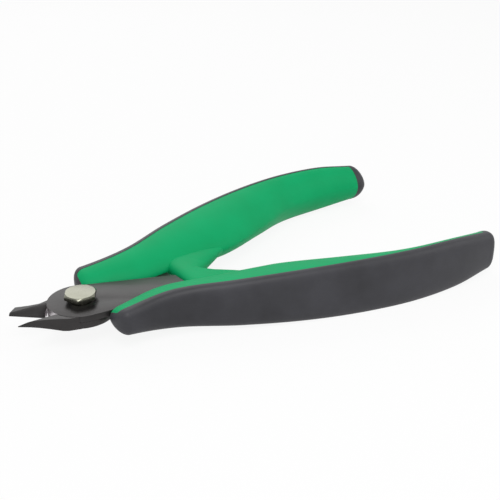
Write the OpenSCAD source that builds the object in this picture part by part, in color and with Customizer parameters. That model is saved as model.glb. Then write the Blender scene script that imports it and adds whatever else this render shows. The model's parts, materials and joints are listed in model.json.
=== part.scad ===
// Small flush cutter with a moulded return spring, lying flat and open.
// Two stamped levers cross at a hex-head pivot screw. The jaws point to -X
// and the handles to +X. The right-hand handle is on +Y, the left on -Y.

/* [Overall] */
// Pivot axis to the rear end of the grips
grip_reach = 119.5; // [100:0.5:150]
// Pivot axis to the jaw tips
jaw_reach = 19; // [15:0.5:24]
// Angle that the handles close through, from rest to the jaws meeting
closing_angle = 20; // [12:1:24]
// Centre plane to the parting line of a grip, at its widest
handle_spread = 33.8; // [28:0.2:42]

/* [Grips] */
// Height of a grip at its middle
grip_h = 16.2; // [13:0.2:20]
// Depth of the hard core at its deepest, from parting line to inner side
core_depth = 16.4; // [13:0.2:20]
// How far the soft overmould stands out from the parting line
overmould_bulge = 3.2; // [1.2:0.1:4]
// Overmould thickness over the front nose
nose_skin = 1; // [0.6:0.1:2]
// Overmould thickness over the rear end
end_skin = 4.6; // [1:0.1:6]
// Pivot axis to the front nose of the grips
grip_front = 3.4; // [2:0.2:5]
// Depth that the resting land takes off the underside
land_depth = 0.4; // [0.2:0.05:0.6]

/* [Levers] */
// Thickness of one lever plate
plate_t = 1.8; // [1.2:0.1:2.4]
// Radius of a lever where the two cross
boss_r = 9; // [7.5:0.1:10.5]
// Height of the lap plane above the middle of the grips
lap_z = -0.1; // [-2:0.1:1]
// Width of the tang inside the core
tang_w = 6; // [4:0.2:8]
// Pivot axis to the end of the tang
tang_reach = 62; // [50:1:80]
// Angle of the ground bevel above the cutting edge
bevel_angle = 58; // [35:1:60]
// Height of the upright face under the bevel
edge_land = 0.25; // [0.1:0.05:0.5]
// How far the underside of a jaw rises from the boss to the tip
tip_rise = 2.8; // [0:0.1:3]
// Radius of the relief hole behind the cutting edges
throat_r = 1.4; // [0.8:0.1:1.6]

/* [Pivot] */
// Width across the flats of the screw head
head_af = 8; // [7:0.1:9]
// Thickness of the screw head
head_t = 1.4; // [1.2:0.1:2.5]
// Radius of the round collar under the head
collar_r = 3.1; // [2.8:0.1:3.4]
// Height of the collar
collar_t = 1.2; // [0.4:0.1:2]
// Radius of the screw shank in the levers
shank_r = 2.3; // [1.8:0.05:2.6]
// Width across the flats of the nut
nut_af = 7; // [6:0.1:8]
// Thickness of the nut
nut_t = 2; // [1.2:0.1:2.6]

/* [Return spring] */
// Pivot axis to the front edge of the web
web_front = 29.4; // [26:0.1:31]
// Thickness of the web on the centre line
web_t = 8; // [5:0.2:10]
// Pivot axis to the ends of the web's arms
web_reach = 47; // [43:0.5:52]
// Height of the web
web_h = 5.2; // [5:0.2:10]
// Thickness of the arms at their ends
arm_t = 1.6; // [1:0.1:2.4]

/* [Clearances] */
// Radial running clearance of the levers on the shank
pivot_clear = 0.05; // [0.02:0.01:0.1]
// Gap between the two lever plates
lap_gap = 0.06; // [0.04:0.01:0.15]
// Gap between the cutting edges when closed
edge_gap = 0.06; // [0.04:0.01:0.2]
// Gap between a tang and its pocket
tang_clear = 0.08; // [0.05:0.01:0.2]
// Gap around the plates where they swing inside a grip
swing_clear = 0.3; // [0.2:0.05:0.5]
// Gap between the web and the cores
web_clear = 0.15; // [0.1:0.05:0.3]

/* [Hidden] */
$fn = 64;
e = 0.01;
half_close = closing_angle / 2;
half_h = grip_h / 2;
tip_x = jaw_reach * cos(half_close);
// Shares of the driving sizes at even stations from the nose to the rear end
SPREAD_SHARE = [0.4, 0.415, 0.61, 0.78, 0.91, 0.99, 1, 0.955];
HEIGHT_SHARE = [0.42, 0.68, 0.84, 0.95, 1, 1, 0.93, 0.7];
DEPTH_SHARE = [0.34, 0.59, 0.83, 1, 0.81, 0.48, 0.36, 0.34];
rings = 30;
sides = 24;
nose_round = 3.2;
end_round = 3.5;
outer_power = 2 / 3;
inner_power = 2 / 1.7;
lower_bottom = lap_z - plate_t;
upper_top = lap_z + plate_t;
lap_r = boss_r + swing_clear / 2;
outer_wall = 3;
swing_end = web_front + 3.7;
head_chamfer = 0.5;
// Outlines of the closed jaws as shares of their reach, tip first
WIDE_TIP_JAW = [[0.89, 0.145], [0.72, 0.125], [0.56, 0.125], [0.42, 0.19], [0.27, 0.31]];
NARROW_TIP_JAW = [[0.84, 0.05], [0.73, 0.1], [0.62, 0.17], [0.51, 0.25], [0.42, 0.33], [0.26, 0.4]];

// Smooth curve through evenly spaced values, u from 0 to 1
function pick(v, i) = v[max(0, min(len(v) - 1, i))];
function smooth(v, u) = let (s = max(0, min(1, u)) * (len(v) - 1), i = min(len(v) - 2, floor(s)), t = s - i,
    a = pick(v, i - 1), b = pick(v, i), c = pick(v, i + 1), d = pick(v, i + 2))
    b + 0.5 * t * (c - a + t * (2 * a - 5 * b + 4 * c - d + t * (3 * (b - c) + d - a)));
function along(x) = (x - grip_front) / (grip_reach - grip_front);
function parting_y(x) = handle_spread * smooth(SPREAD_SHARE, along(x));
function half_height(x) = half_h * smooth(HEIGHT_SHARE, along(x));
// The inner side stays clear of the centre plane when the handles are closed
function inner_y(x) = max(parting_y(x) - core_depth * smooth(DEPTH_SHARE, along(x)),
    x * tan(half_close) + swing_clear * 1.5);
// Quarter-round closing of both ends of a grip
function end_scale(x) = let (a = min(1, (x - grip_front) / nose_round), b = min(1, (grip_reach - x) / end_round))
    max(0.3, sqrt(1 - pow(1 - a, 2))) * max(0.3, sqrt(1 - pow(1 - b, 2)));
function signed_pow(v, p) = sign(v) * pow(abs(v), p);
function ring_x(i) = let (u = i / (rings - 1)) grip_front
    + (grip_reach - grip_front) * (u - 0.12 * sin(360 * u));
function ring_point(x, a) = let (y0 = parting_y(x), w = y0 - inner_y(x), f = end_scale(x), mid = y0 - 0.4 * w,
    y = y0 + (cos(a) > 0 ? overmould_bulge * signed_pow(cos(a), outer_power) : w * signed_pow(cos(a), inner_power)),
    z = half_height(x) * signed_pow(sin(a), cos(a) > 0 ? outer_power : inner_power))
    [x, mid + (y - mid) * f, max(z * f, land_depth - half_h)];

// One whole grip on +Y: a swept D section, closed at both ends
module grip_body() {
    points = [for (i = [0:rings - 1]) for (j = [0:sides - 1]) ring_point(ring_x(i), 360 * j / sides)];
    skin = [for (i = [0:rings - 2]) for (j = [0:sides - 1]) let (k = (j + 1) % sides)
        each [[i * sides + j, (i + 1) * sides + j, (i + 1) * sides + k],
            [i * sides + j, (i + 1) * sides + k, i * sides + k]]];
    front = [for (j = [0:sides - 1]) j];
    rear = [for (j = [sides - 1:-1:0]) (rings - 1) * sides + j];
    polyhedron(points, concat(skin, [front, rear]), convexity = 6);
}

// Plan of the hard core: inside the parting line, short of both skins
module core_plan() {
    first = grip_front + nose_skin;
    last = grip_reach - end_skin;
    steps = 24;
    side_points = [for (i = [0:steps]) let (x = first + (last - first) * i / steps) [x, parting_y(x)]];
    polygon(concat(side_points, [[last, 0], [first, 0]]));
}

module core_block() {
    translate([0, 0, -half_h - 1]) linear_extrude(grip_h + 2) core_plan();
}

// Room inside a grip for the edges of both levers as they swing
module swing_pocket() {
    translate([0, 0, lower_bottom - swing_clear]) linear_extrude(2 * plate_t + 2 * swing_clear)
        polygon([[grip_front - 2, -e], [swing_end, -e], [swing_end, parting_y(swing_end) - outer_wall - 2],
            [boss_r * 1.6, parting_y(boss_r * 1.6) - outer_wall], [boss_r, parting_y(boss_r) - outer_wall],
            [grip_front - 2, parting_y(grip_front) - outer_wall]]);
}

// Plan of a tang inside its core, grown by a gap
module tang_plan(gap) {
    root_y = inner_y(swing_end) + 1.5;
    end_y = parting_y(tang_reach) - 0.5 * (parting_y(tang_reach) - inner_y(tang_reach));
    polygon([[web_front - 1, root_y - gap], [swing_end, root_y - gap],
        [tang_reach + gap, end_y - tang_w / 2 - gap], [tang_reach + gap, end_y + tang_w / 2 + gap],
        [swing_end, root_y + tang_w + gap], [web_front - 1, root_y + tang_w + gap]]);
}

// Plan of the lever between the boss and the tang
module shoulder_plan() {
    root_y = inner_y(swing_end) + 1.5;
    polygon([[boss_r * 0.5, -boss_r * 0.866], [web_front - 1.2, 0.3], [web_front - 0.5, root_y],
        [swing_end, root_y], [swing_end, root_y + tang_w], [boss_r * 2, parting_y(boss_r * 2) - outer_wall - 1],
        [0, boss_r]]);
}

// Plan of one jaw in the closed position, on -Y
module jaw_plan(outline) {
    polygon(concat([[-4, -edge_gap / 2], [-jaw_reach, -edge_gap / 2]],
        [for (p = outline) [-jaw_reach * p[0], -jaw_reach * p[1]]], [[-2, -4]]));
}

// Rising underside, ground bevel along the cutting edge, relief hole behind it
module jaw_cuts() {
    root = boss_r * 1.02;
    cut = jaw_reach - root + 2;
    translate([-root, -edge_gap / 2, lower_bottom]) rotate([0, atan(tip_rise / (jaw_reach - root)), 0])
        mirror([1, 0, 0]) {
            translate([0, -10, -6]) cube([cut, 20, 6]);
            translate([0, 0, edge_land]) rotate([-bevel_angle, 0, 0]) translate([0, -10, 0])
                cube([cut, 20, 10]);
        }
    translate([-boss_r * 0.93, 0, lower_bottom - 1]) cylinder(r = throat_r, h = 2 * plate_t + 2);
}

// One lever with its handle on +Y and its jaw on -Y, one plate thick at the lap
module lever(bottom, outline) {
    difference() {
        union() {
            translate([0, 0, bottom]) linear_extrude(plate_t - lap_gap / 2) {
                circle(r = boss_r);
                shoulder_plan();
                tang_plan(0);
            }
            rotate([0, 0, half_close]) difference() {
                union() {
                    translate([0, 0, bottom]) linear_extrude(plate_t - lap_gap / 2) jaw_plan(outline);
                    translate([0, 0, lower_bottom]) linear_extrude(2 * plate_t) difference() {
                        jaw_plan(outline);
                        circle(r = lap_r);
                    }
                }
                jaw_cuts();
            }
        }
        translate([0, 0, lower_bottom - 1]) cylinder(r = shank_r + pivot_clear, h = 2 * plate_t + 2);
    }
}

// From the pivot frame to the part's frame
module place() {
    translate([(tip_x - grip_reach) / 2, 0, half_h - land_depth]) children();
}

module lower_blade() {
    color([0.25, 0.24, 0.24]) place() lever(lower_bottom, NARROW_TIP_JAW);
}

module upper_blade() {
    color([0.36, 0.34, 0.33]) place() mirror([0, 1, 0]) lever(lap_z + lap_gap / 2, WIDE_TIP_JAW);
}

// Hexagon head with a turned chamfer, round collar and shank
module pivot_screw() {
    head_bottom = upper_top + collar_t;
    color([0.5, 0.5, 0.46]) place() {
        intersection() {
            translate([0, 0, head_bottom]) cylinder(d = head_af / cos(30), h = head_t, $fn = 6);
            union() {
                translate([0, 0, head_bottom]) cylinder(d = head_af / cos(30) + e, h = head_t - head_chamfer + e);
                translate([0, 0, head_bottom + head_t - head_chamfer])
                    cylinder(d1 = head_af / cos(30) + e, d2 = head_af - e, h = head_chamfer);
            }
        }
        translate([0, 0, upper_top]) cylinder(r = collar_r, h = collar_t + e);
        translate([0, 0, lower_bottom - nut_t]) cylinder(r = shank_r, h = 2 * plate_t + nut_t + e);
    }
}

module pivot_nut() {
    color([0.4, 0.4, 0.38]) place() translate([0, 0, lower_bottom - nut_t]) difference() {
        cylinder(d = nut_af / cos(30), h = nut_t, $fn = 6);
        translate([0, 0, -1]) cylinder(r = shank_r, h = nut_t + 2);
    }
}

// Flexible web and its two arms, which push the handles apart
module spring_web() {
    steps = 5;
    side_x = [for (i = [0:steps]) web_front + (web_reach - web_front) * i / steps];
    upper_side = [for (x = side_x) [x, inner_y(x) - web_clear]];
    lower_side = [for (i = [steps:-1:0]) [side_x[i], web_clear - inner_y(side_x[i])]];
    notch = [[web_reach, inner_y(web_reach) - web_clear - arm_t], [web_front + web_t, 0],
        [web_reach, web_clear + arm_t - inner_y(web_reach)]];
    color([0.02, 0.66, 0.41]) place() translate([0, 0, -web_h / 2]) linear_extrude(web_h)
        polygon(concat(upper_side, notch, lower_side));
}

module grip_core() {
    difference() {
        intersection() {
            grip_body();
            core_block();
        }
        swing_pocket();
        translate([0, 0, lower_bottom - tang_clear]) linear_extrude(2 * plate_t + 2 * tang_clear)
            tang_plan(tang_clear);
    }
}

module overmould() {
    difference() {
        grip_body();
        core_block();
        swing_pocket();
    }
}

module right_grip_core() {
    color([0.02, 0.66, 0.41]) place() grip_core();
}

module left_grip_core() {
    color([0.02, 0.66, 0.41]) place() mirror([0, 1, 0]) grip_core();
}

module right_overmould() {
    color([0.2, 0.2, 0.21]) place() overmould();
}

module left_overmould() {
    color([0.2, 0.2, 0.21]) place() mirror([0, 1, 0]) overmould();
}

lower_blade();
upper_blade();
pivot_screw();
pivot_nut();
spring_web();
right_grip_core();
left_grip_core();
right_overmould();
left_overmould();
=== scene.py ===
"""Looks of a small flush cutter that lies flat and open on a pale surface."""

import json
import logging
import math
from dataclasses import dataclass, field
from enum import Enum

import bmesh
import bpy
import numpy as np
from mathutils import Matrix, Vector


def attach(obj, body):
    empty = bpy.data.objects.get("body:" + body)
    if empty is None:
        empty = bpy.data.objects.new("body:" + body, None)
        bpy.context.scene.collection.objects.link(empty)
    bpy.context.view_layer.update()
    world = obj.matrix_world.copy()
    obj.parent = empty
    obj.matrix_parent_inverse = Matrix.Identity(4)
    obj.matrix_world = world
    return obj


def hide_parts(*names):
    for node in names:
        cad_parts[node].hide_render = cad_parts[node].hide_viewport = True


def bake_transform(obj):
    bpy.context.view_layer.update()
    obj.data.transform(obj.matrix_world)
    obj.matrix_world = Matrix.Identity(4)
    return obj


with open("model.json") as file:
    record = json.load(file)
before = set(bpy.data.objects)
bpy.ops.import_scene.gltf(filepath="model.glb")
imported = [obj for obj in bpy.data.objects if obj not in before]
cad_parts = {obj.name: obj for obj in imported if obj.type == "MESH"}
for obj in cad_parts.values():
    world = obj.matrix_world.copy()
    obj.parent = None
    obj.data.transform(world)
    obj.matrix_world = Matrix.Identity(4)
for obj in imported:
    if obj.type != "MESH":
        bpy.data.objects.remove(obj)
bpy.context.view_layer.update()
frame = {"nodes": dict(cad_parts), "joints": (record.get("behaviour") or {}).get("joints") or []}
LOG = logging.getLogger("flush_cutter")
MM = 0.001
MERGE_DISTANCE = 0.001 * MM
FLAT_ANGLE = math.radians(1)
EDGE_ANGLE = math.radians(25)
EDGE_SEGMENTS = 3
BROAD_SCALE = 90
PIVOT = np.array(frame["joints"][0]["pos_m"], float)
HALF_CLOSE = math.radians(frame["joints"][0]["range_deg"][1]) / 2
Colour = tuple[float, float, float]


class Side(Enum):
    """The two handles, by the sign of their Y."""

    RIGHT = 1
    LEFT = -1

    @property
    def body(self) -> str:
        """Name of the CAD body that the handle belongs to."""
        return f"{self.name.lower()}_lever"


# ---------------------------------------------------------------- finishes


def srgb(red: int, green: int, blue: int) -> Colour:
    """Turns 8-bit display values into linear light.

    Args:
        red: Red, 0 to 255.
        green: Green, 0 to 255.
        blue: Blue, 0 to 255.

    Returns:
        The linear colour.
    """
    display = np.array([red, green, blue]) / 255
    low = display / 12.92
    high = ((display + 0.055) / 1.055) ** 2.4
    return tuple(float(v) for v in np.where(display <= 0.04045, low, high))


def grain_group() -> bpy.types.NodeTree:
    """Builds the shared grain: fine noise for bump and broad noise for tone.

    Returns:
        A node group with inputs Scale, Stretch and outputs Fine, Broad.
    """
    made = bpy.data.node_groups.get("surface_grain")
    if made:
        return made
    group = bpy.data.node_groups.new("surface_grain", "ShaderNodeTree")
    scale = group.interface.new_socket("Scale", in_out="INPUT", socket_type="NodeSocketFloat")
    scale.default_value = 3000
    stretch = group.interface.new_socket("Stretch", in_out="INPUT", socket_type="NodeSocketVector")
    stretch.default_value = (1, 1, 1)
    group.interface.new_socket("Fine", in_out="OUTPUT", socket_type="NodeSocketFloat")
    group.interface.new_socket("Broad", in_out="OUTPUT", socket_type="NodeSocketFloat")
    nodes, links = group.nodes, group.links
    entry, leave = nodes.new("NodeGroupInput"), nodes.new("NodeGroupOutput")
    coordinates = nodes.new("ShaderNodeTexCoord")
    mapping = nodes.new("ShaderNodeMapping")
    links.new(coordinates.outputs["Object"], mapping.inputs["Vector"])
    links.new(entry.outputs["Stretch"], mapping.inputs["Scale"])
    fine = nodes.new("ShaderNodeTexNoise")
    fine.inputs["Detail"].default_value = 3
    links.new(mapping.outputs["Vector"], fine.inputs["Vector"])
    links.new(entry.outputs["Scale"], fine.inputs["Scale"])
    broad = nodes.new("ShaderNodeTexNoise")
    broad.inputs["Scale"].default_value = BROAD_SCALE
    broad.inputs["Detail"].default_value = 5
    links.new(coordinates.outputs["Object"], broad.inputs["Vector"])
    links.new(fine.outputs["Fac"], leave.inputs["Fine"])
    links.new(broad.outputs["Fac"], leave.inputs["Broad"])
    return group


def ramp(tree: bpy.types.NodeTree, source: bpy.types.NodeSocket, low: tuple[float, Colour],
         high: tuple[float, Colour]) -> bpy.types.NodeSocket:
    """Maps a mask to a blend of two colours.

    Args:
        tree: The material's node tree.
        source: The mask.
        low: Mask value and colour at the dark end.
        high: Mask value and colour at the light end.

    Returns:
        The colour socket.
    """
    node = tree.nodes.new("ShaderNodeValToRGB")
    for element, (place, colour) in zip(node.color_ramp.elements, (low, high)):
        element.position = place
        element.color = (*colour, 1)
    tree.links.new(source, node.inputs["Fac"])
    return node.outputs["Color"]


@dataclass(frozen=True)
class Finish:
    """One surface finish: two close tones, a roughness range and a fine grain."""

    name: str
    slot: str
    dark: Colour
    light: Colour
    rough: tuple[float, float]
    metallic: float = 0.0
    grain_scale: float = 3000.0
    stretch: tuple[float, float, float] = (1, 1, 1)
    bump: float = 0.1
    bump_depth: float = 0.05 * MM
    specular: float = 0.5

    def material(self) -> bpy.types.Material:
        """Builds the material once and returns it."""
        made = bpy.data.materials.get(self.name)
        if made:
            return made
        made = bpy.data.materials.new(self.name)
        made.use_nodes = True
        tree = made.node_tree
        surface = tree.nodes["Principled BSDF"]
        grain = tree.nodes.new("ShaderNodeGroup")
        grain.node_tree = grain_group()
        grain.inputs["Scale"].default_value = self.grain_scale
        grain.inputs["Stretch"].default_value = self.stretch
        tone = ramp(tree, grain.outputs["Broad"], (0.3, self.dark), (0.7, self.light))
        tree.links.new(tone, surface.inputs["Base Color"])
        spread = tree.nodes.new("ShaderNodeMapRange")
        spread.inputs["To Min"].default_value, spread.inputs["To Max"].default_value = self.rough
        tree.links.new(grain.outputs["Broad"], spread.inputs["Value"])
        tree.links.new(spread.outputs["Result"], surface.inputs["Roughness"])
        bump = tree.nodes.new("ShaderNodeBump")
        bump.inputs["Strength"].default_value = self.bump
        bump.inputs["Distance"].default_value = self.bump_depth
        tree.links.new(grain.outputs["Fine"], bump.inputs["Height"])
        tree.links.new(bump.outputs["Normal"], surface.inputs["Normal"])
        surface.inputs["Metallic"].default_value = self.metallic
        surface.inputs["Specular IOR Level"].default_value = self.specular
        return made


HARD_GREEN = Finish("green_moulding", "hard_grip", srgb(0, 158, 96), srgb(2, 166, 103), (0.5, 0.6),
                    grain_scale=2600, bump=0.12, specular=0.15)
SOFT_BLACK = Finish("soft_overmould", "soft_grip", srgb(44, 44, 48), srgb(58, 58, 63), (0.42, 0.55),
                    grain_scale=3800, bump=0.3, specular=0.35)
DARK_PLATE = Finish("blackened_steel", "blade_steel", srgb(44, 43, 43), srgb(60, 58, 58), (0.3, 0.4),
                    metallic=0.7, grain_scale=1500, stretch=(0.12, 1, 1), bump=0.25)
GROUND_STEEL = Finish("ground_steel", "blade_steel", srgb(176, 170, 173), srgb(205, 200, 203), (0.3, 0.4),
                      metallic=0.9, grain_scale=1800, stretch=(1, 0.15, 1), bump=0.2)
BRIGHT_SCREW = Finish("bright_screw", "pivot_steel", srgb(118, 118, 106), srgb(140, 140, 128), (0.18, 0.28),
                      metallic=1.0, grain_scale=2200, bump=0.1)


# ---------------------------------------------------------------- meshes


def add_piece(name: str, vertices: np.ndarray, faces: list[tuple[int, ...]],
              finish: Finish) -> bpy.types.Object:
    """Makes a smooth-shaded mesh object with one finish.

    Args:
        name: The piece's name.
        vertices: Points in metres, one row each.
        faces: Vertex numbers of each face.
        finish: The surface finish.

    Returns:
        The new object.
    """
    mesh = bpy.data.meshes.new(name)
    mesh.from_pydata(vertices.tolist(), [], faces)
    mesh.validate()
    mesh.update()
    mesh.materials.append(finish.material())
    mesh.polygons.foreach_set("use_smooth", np.ones(len(mesh.polygons), bool))
    piece = bpy.data.objects.new(name, mesh)
    bpy.context.scene.collection.objects.link(piece)
    LOG.info("%s: %d faces", name, len(mesh.polygons))
    return piece


def tube_faces(rings: int, around: int, flip: bool) -> list[tuple[int, ...]]:
    """Faces of a closed tube of rings with a pole at each end.

    Args:
        rings: Number of rings.
        around: Points in a ring.
        flip: Whether the order of each face is turned round.

    Returns:
        The faces; the two poles are the last two vertices.
    """
    first = np.arange(rings - 1)[:, None] * around
    here = np.arange(around)[None, :]
    after = (here + 1) % around
    quads = np.stack([first + here, first + around + here, first + around + after, first + after], -1)
    quads = quads.reshape(-1, 4)
    ring = np.arange(around)
    start, end = rings * around, rings * around + 1
    last = (rings - 1) * around
    front = np.stack([np.full(around, start), ring, np.roll(ring, -1)], 1)
    rear = np.stack([np.full(around, end), last + np.roll(ring, -1), last + ring], 1)
    faces = [*map(tuple, quads.tolist()), *map(tuple, front.tolist()), *map(tuple, rear.tolist())]
    return [face[::-1] for face in faces] if flip else faces


def with_poles(grid: np.ndarray) -> np.ndarray:
    """Adds the middle of the first and last ring to a grid of rings, as rows of points."""
    return np.vstack([grid.reshape(-1, 3), grid[0].mean(0), grid[-1].mean(0)])


def softened_copy(node: str, finish: Finish, edge: float) -> bpy.types.Object:
    """Copies a CAD node, merges its triangles and rounds its edges.

    Args:
        node: The CAD node that the copy stands for.
        finish: The surface finish.
        edge: Width of the rounded edges in metres.

    Returns:
        The new piece, which replaces the node.
    """
    mesh = frame["nodes"][node].data.copy()
    mesh.materials.clear()
    mesh.materials.append(finish.material())
    work = bmesh.new()
    work.from_mesh(mesh)
    bmesh.ops.remove_doubles(work, verts=work.verts, dist=MERGE_DISTANCE)
    bmesh.ops.dissolve_limit(work, angle_limit=FLAT_ANGLE, verts=work.verts, edges=work.edges)
    work.to_mesh(mesh)
    work.free()
    piece = bpy.data.objects.new(f"{node}_finished", mesh)
    bpy.context.scene.collection.objects.link(piece)
    bevel = piece.modifiers.new("edge", "BEVEL")
    bevel.width = edge
    bevel.segments = EDGE_SEGMENTS
    bevel.limit_method = "ANGLE"
    bevel.angle_limit = EDGE_ANGLE
    bevel.harden_normals = True
    mesh.polygons.foreach_set("use_smooth", np.ones(len(mesh.polygons), bool))
    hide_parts(node)
    LOG.info("%s: edges rounded with %d segments", piece.name, EDGE_SEGMENTS)
    return piece


# ---------------------------------------------------------------- grips


@dataclass(frozen=True)
class GripShape:
    """Section and outline of one grip, in millimetres from the pivot."""

    reach: float = 119.5
    front: float = 3.4
    spread: float = 33.8
    half_height: float = 8.1
    depth: float = 16.4
    bulge: float = 3.2
    nose_skin: float = 1.0
    end_skin: float = 4.6
    land: float = 0.4
    swing_gap: float = 0.45
    nose_round: float = 3.2
    end_round: float = 3.5
    outer_power: float = 2 / 3
    inner_power: float = 2 / 1.7
    middle_share: float = 0.4
    spread_share: tuple[float, ...] = (0.4, 0.415, 0.61, 0.78, 0.91, 0.99, 1, 0.955)
    height_share: tuple[float, ...] = (0.42, 0.68, 0.84, 0.95, 1, 1, 0.93, 0.7)
    depth_share: tuple[float, ...] = (0.34, 0.59, 0.83, 1, 0.81, 0.48, 0.36, 0.34)

    def smooth(self, shares: tuple[float, ...], x: np.ndarray) -> np.ndarray:
        """Carries a Catmull-Rom curve through evenly spaced shares.

        Args:
            shares: Values at even stations from the nose to the rear end.
            x: Distances from the pivot.

        Returns:
            The curve's value at each distance.
        """
        values = np.array(shares, float)
        place = np.clip((x - self.front) / (self.reach - self.front), 0, 1) * (len(values) - 1)
        i = np.minimum(len(values) - 2, np.floor(place).astype(int))
        t = place - i
        a, b, c, d = (values[np.clip(i + k, 0, len(values) - 1)] for k in (-1, 0, 1, 2))
        return b + 0.5 * t * (c - a + t * (2 * a - 5 * b + 4 * c - d + t * (3 * (b - c) + d - a)))

    def parting(self, x: np.ndarray) -> np.ndarray:
        """Distance of the parting line from the centre plane."""
        return self.spread * self.smooth(self.spread_share, x)

    def inner(self, x: np.ndarray) -> np.ndarray:
        """Distance of the inner side from the centre plane."""
        open_side = self.parting(x) - self.depth * self.smooth(self.depth_share, x)
        return np.maximum(open_side, x * math.tan(HALF_CLOSE) + self.swing_gap)

    def closing(self, x: np.ndarray, floor: float = 0.02) -> np.ndarray:
        """Quarter-round shrinking of the sections at both ends."""
        nose = np.clip(1 - (x - self.front) / self.nose_round, 0, 1)
        end = np.clip(1 - (self.reach - x) / self.end_round, 0, 1)
        return np.maximum(floor, np.sqrt(1 - nose**2)) * np.maximum(floor, np.sqrt(1 - end**2))

    def rings(self, x: np.ndarray, around: int, outer: np.ndarray, inner: np.ndarray,
              height: float, side: Side) -> np.ndarray:
        """Sections across the grip, two super-ellipse halves that meet at the parting line.

        Each half is y = depth * |cos|^p and z = height * |sin|^p, shrunk at the ends
        and cut flat at the land that it lies on.

        Args:
            x: Distance of each section from the pivot.
            around: Points in a section.
            outer: Reach of the outer half at each section.
            inner: Share of the inner half's depth at each section.
            height: Share of the full height.
            side: Which handle.

        Returns:
            Points as rings by around by three, in metres.
        """
        angle = np.linspace(0, 2 * np.pi, around, endpoint=False)[None, :]
        c, s = np.cos(angle), np.sin(angle)
        x = x[:, None]
        parting, full = self.parting(x), self.parting(x) - self.inner(x)
        reach = np.where(c > 0, outer[:, None] * np.abs(c)**self.outer_power,
                         -full * inner[:, None] * np.abs(c)**self.inner_power)
        power = np.where(c > 0, self.outer_power, self.inner_power)
        z = self.half_height * self.smooth(self.height_share, x) * np.sign(s) * np.abs(s)**power * height
        shrink, middle = self.closing(x), parting - self.middle_share * full
        y = middle + (parting + reach - middle) * shrink
        z = np.maximum(z * shrink, self.land - self.half_height)
        points = np.stack(np.broadcast_arrays(x, y * side.value, z), -1)
        return points * MM + PIVOT


@dataclass
class Grips:
    """Both handles: a hard core with a soft overmould on its outer side and ends."""

    shape: GripShape = field(default_factory=GripShape)
    stations: int = 260
    around: int = 128
    step: float = 0.35
    core_outer: float = 0.3
    core_height: float = 0.988
    skin_share: float = 0.02

    def core(self, side: Side) -> bpy.types.Object:
        """Builds the hard core: the inner half of the section, closed at the parting plane.

        Args:
            side: Which handle.

        Returns:
            The new piece.
        """
        s = self.shape
        x = np.linspace(s.front + s.nose_skin - self.step, s.reach - s.end_skin + self.step, self.stations)
        ones = np.ones_like(x)
        grid = s.rings(x, self.around, self.core_outer * ones, ones, self.core_height, side)
        piece = add_piece(f"{side.name.lower()}_core_moulding", with_poles(grid),
                          tube_faces(len(x), self.around, side is Side.LEFT), HARD_GREEN)
        return self.finish(piece, side, "grip_core", HARD_GREEN)

    def overmould(self, side: Side) -> bpy.types.Object:
        """Builds the soft skin: the outer half of the section, whole at the nose and the rear end.

        Args:
            side: Which handle.

        Returns:
            The new piece.
        """
        s = self.shape
        first, last = s.front + s.nose_skin, s.reach - s.end_skin
        u = np.linspace(0, 1, self.stations)
        spread = s.front + (s.reach - s.front) * (1 - np.cos(np.pi * u)) / 2
        x = np.unique(np.concatenate([spread, first + np.linspace(-1, 1, 9) * self.step,
                                      last + np.linspace(-1, 1, 9) * self.step]))
        whole = np.clip((first - x) / self.step + 0.5, 0, 1) + np.clip((x - last) / self.step + 0.5, 0, 1)
        inner = self.skin_share + (1 - self.skin_share) * whole
        grid = s.rings(x, self.around, s.bulge * np.ones_like(x), inner, 1.0, side)
        piece = add_piece(f"{side.name.lower()}_soft_overmould", with_poles(grid),
                          tube_faces(len(x), self.around, side is Side.LEFT), SOFT_BLACK)
        return self.finish(piece, side, "overmould", SOFT_BLACK)

    def finish(self, piece: bpy.types.Object, side: Side, node: str, finish: Finish) -> bpy.types.Object:
        """Ties a piece to its CAD node and body, and returns it."""
        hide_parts(f"{side.name.lower()}_{node}")
        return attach(piece, side.body)

    def build(self) -> None:
        """Builds both handles."""
        for side in Side:
            self.core(side)
            self.overmould(side)


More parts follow.
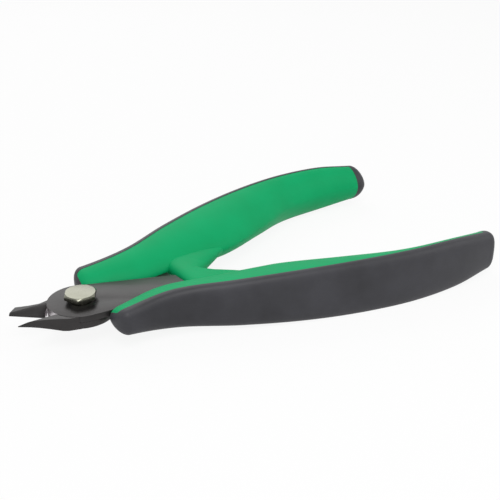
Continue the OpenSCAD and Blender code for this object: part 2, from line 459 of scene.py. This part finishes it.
@dataclass
class SpringWeb:
    """The flexible web with its two arms, moulded in one with the cores."""

    shape: GripShape = field(default_factory=GripShape)
    front: float = 29.4
    thickness: float = 7.4
    reach: float = 50.0
    half_height: float = 2.6
    into_core: float = 4.8
    end_height: float = 1.2
    section_power: float = 0.8
    slot_share: float = 0.3
    crotch_round: float = 0.05
    rear_past: float = 0.1
    end_sink: float = 0.3
    stations: int = 121
    around: int = 40

    def edges(self, s: np.ndarray) -> tuple[np.ndarray, np.ndarray]:
        """Front and rear edge of the web in plan.

        The front edge runs across the slot's end and then inside the core's
        side; the rear edge is the rounded V between the arms.

        Args:
            s: Place along the web, -1 to 1 from arm to arm.

        Returns:
            The two edges, as points in the plane.
        """
        across = self.slot_share
        away = np.abs(s)
        out = np.clip((away - across) / (1 - across), 0, 1)
        side_x = self.front + (self.reach - self.front) * out
        side_y = (self.shape.inner(side_x) + self.into_core) * np.minimum(1, away / across)
        rounded = np.hypot(away, self.crotch_round) - self.crotch_round
        crotch = self.front + self.thickness
        rear_x = crotch + (self.reach + self.rear_past - crotch) * rounded
        rear_y = (self.shape.inner(np.array([self.reach]))[0] + self.end_sink) * rounded
        front = np.stack([side_x, side_y * np.sign(s)], -1)
        rear = np.stack([rear_x, rear_y * np.sign(s)], -1)
        return front, rear

    def build(self) -> bpy.types.Object:
        """Builds the web as rounded sections between its two edges.

        Returns:
            The new piece.
        """
        s = np.linspace(-1, 1, self.stations)
        front, rear = self.edges(s)
        angle = np.linspace(0, 2 * np.pi, self.around, endpoint=False)
        c = np.sign(np.cos(angle)) * np.abs(np.cos(angle))**self.section_power
        z = np.sign(np.sin(angle)) * np.abs(np.sin(angle))**self.section_power
        plan = front[:, None] + (rear - front)[:, None] * (0.5 + 0.5 * c)[None, :, None]
        lift = (self.half_height + (self.end_height - self.half_height) * np.abs(s)**2)[:, None]
        points = np.dstack([plan, z[None, :] * lift]) * MM + PIVOT
        piece = add_piece("green_spring_web", with_poles(points), tube_faces(len(s), self.around, True),
                          HARD_GREEN)
        work = bmesh.new()
        work.from_mesh(piece.data)
        bmesh.ops.recalc_face_normals(work, faces=work.faces)
        work.to_mesh(piece.data)
        work.free()
        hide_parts("spring_web")
        edge = self.shape.inner(np.array([self.front]))[0] * MM
        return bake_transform(piece)


@dataclass
class Levers:
    """The two stamped plates and the pivot that joins them."""

    plate_edge: float = 0.18 * MM
    screw_edge: float = 0.12 * MM
    throat: tuple[float, float] = (6.3, 10.6)
    throat_half_width: float = 4.0
    upright_limit: float = 0.3

    def build(self) -> None:
        """Builds the plates, the screw and the nut with softened edges."""
        rows = (("lower_blade", DARK_PLATE, Side.RIGHT, self.plate_edge),
                ("upper_blade", DARK_PLATE, Side.LEFT, self.plate_edge),
                ("pivot_screw", BRIGHT_SCREW, Side.RIGHT, self.screw_edge),
                ("pivot_nut", BRIGHT_SCREW, Side.RIGHT, self.screw_edge))
        for node, finish, side, edge in rows:
            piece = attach(softened_copy(node, finish, edge), side.body)
            if finish is DARK_PLATE:
                self.grind_throat(piece)

    def grind_throat(self, piece: bpy.types.Object) -> None:
        """Gives the upright faces around the relief hole their bright ground finish.

        Args:
            piece: A lever plate.
        """
        mesh = piece.data
        mesh.materials.append(GROUND_STEEL.material())
        centre, normal = np.zeros(len(mesh.polygons) * 3), np.zeros(len(mesh.polygons) * 3)
        mesh.polygons.foreach_get("center", centre)
        mesh.polygons.foreach_get("normal", normal)
        away = (centre.reshape(-1, 3) - PIVOT) / MM
        upright = np.abs(normal.reshape(-1, 3)[:, 2]) < self.upright_limit
        near = (away[:, 0] < -self.throat[0]) & (away[:, 0] > -self.throat[1])
        near &= np.abs(away[:, 1]) < self.throat_half_width
        mesh.polygons.foreach_set("material_index", (near & upright).astype(np.int32))


# ---------------------------------------------------------------- studio


@dataclass
class Studio:
    """Camera, soft lamps, white world and pale floor."""

    azimuth: float = -32.5
    elevation: float = 25.6
    distance: float = 0.284
    lens: float = 68.2
    aim: tuple[float, float, float] = (0.0565, 0.0049, 0.0)

    def camera(self) -> None:
        """Places the camera, aimed a little behind the middle of the tool."""
        data = bpy.data.cameras.new("camera")
        data.lens, data.sensor_width = self.lens, 36
        data.clip_start, data.clip_end = 0.01, 20
        eye = bpy.data.objects.new("camera", data)
        bpy.context.scene.collection.objects.link(eye)
        a, e = math.radians(self.azimuth), math.radians(self.elevation)
        back = Vector((math.sin(a) * math.cos(e), -math.cos(a) * math.cos(e), math.sin(e)))
        eye.location = Vector(PIVOT) + Vector(self.aim) + back * self.distance
        eye.rotation_euler = back.to_track_quat("Z", "Y").to_euler()
        bpy.context.scene.camera = eye

    def lamp(self, name: str, place: tuple[float, float, float], size: float, power: float) -> None:
        """Adds a soft square lamp that faces the tool.

        Args:
            name: The lamp's name.
            place: Where it stands, in metres.
            size: Length of its sides.
            power: Its power in watts.
        """
        data = bpy.data.lights.new(name, "AREA")
        data.size, data.energy = size, power
        lamp = bpy.data.objects.new(name, data)
        bpy.context.scene.collection.objects.link(lamp)
        lamp.location = place
        lamp.rotation_euler = Vector(place).to_track_quat("Z", "Y").to_euler()

    def seen(self, tree: bpy.types.NodeTree) -> bpy.types.NodeSocket:
        """Mask that is 1 for rays that show the background, directly or in gloss."""
        path = tree.nodes.new("ShaderNodeLightPath")
        total = path.outputs["Is Camera Ray"]
        for name in ("Is Glossy Ray", "Is Transmission Ray"):
            add = tree.nodes.new("ShaderNodeMath")
            add.operation = "MAXIMUM"
            tree.links.new(total, add.inputs[0])
            tree.links.new(path.outputs[name], add.inputs[1])
            total = add.outputs[0]
        return total

    def world(self, strength: float) -> None:
        """Makes a white world that lights the tool at a lower strength.

        Args:
            strength: Strength for rays that only carry light.
        """
        world = bpy.data.worlds.new("white")
        bpy.context.scene.world = world
        world.use_nodes = True
        tree = world.node_tree
        spread = tree.nodes.new("ShaderNodeMapRange")
        spread.inputs["To Min"].default_value = strength
        spread.inputs["To Max"].default_value = 1
        tree.links.new(self.seen(tree), spread.inputs["Value"])
        background = tree.nodes["Background"]
        background.inputs["Color"].default_value = (1, 1, 1, 1)
        tree.links.new(spread.outputs["Result"], background.inputs["Strength"])

    def floor(self, size: float, lit: float) -> None:
        """Lays a pale floor that shows nearly white but keeps a soft shadow.

        Args:
            size: Half its side in metres.
            lit: Share of plain white in what the camera sees.
        """
        corners = np.array([[-1, -1, 0], [1, -1, 0], [1, 1, 0], [-1, 1, 0]]) * size
        mesh = bpy.data.meshes.new("floor")
        mesh.from_pydata(corners.tolist(), [], [(0, 1, 2, 3)])
        floor = bpy.data.objects.new("floor", mesh)
        bpy.context.scene.collection.objects.link(floor)
        material = bpy.data.materials.new("pale_floor")
        material.use_nodes = True
        tree = material.node_tree
        surface = tree.nodes["Principled BSDF"]
        surface.inputs["Base Color"].default_value = (0.9, 0.9, 0.9, 1)
        surface.inputs["Roughness"].default_value = 0.9
        surface.inputs["Specular IOR Level"].default_value = 0.1
        white = tree.nodes.new("ShaderNodeEmission")
        mix = tree.nodes.new("ShaderNodeMixShader")
        share = tree.nodes.new("ShaderNodeMath")
        share.operation = "MULTIPLY"
        share.inputs[1].default_value = lit
        tree.links.new(self.seen(tree), share.inputs[0])
        tree.links.new(share.outputs[0], mix.inputs["Fac"])
        tree.links.new(surface.outputs["BSDF"], mix.inputs[1])
        tree.links.new(white.outputs["Emission"], mix.inputs[2])
        tree.links.new(mix.outputs["Shader"], tree.nodes["Material Output"].inputs["Surface"])
        mesh.materials.append(material)

    def build(self) -> None:
        """Builds the whole studio."""
        bpy.context.scene.view_settings.view_transform = "Standard"
        self.camera()
        self.lamp("key", (-0.15, -0.25, 0.45), 0.3, 1.3)
        self.lamp("fill", (0.35, -0.3, 0.3), 0.3, 0.5)
        self.lamp("back", (0.05, 0.4, 0.35), 0.35, 0.6)
        self.world(0.45)
        self.floor(3.0, 0.9)


def main() -> None:
    """Builds the studio and the tool."""
    logging.basicConfig(level=logging.INFO)
    Studio().build()
    Levers().build()
    Grips().build()
    SpringWeb().build()


if __name__ == "__main__":
    main()
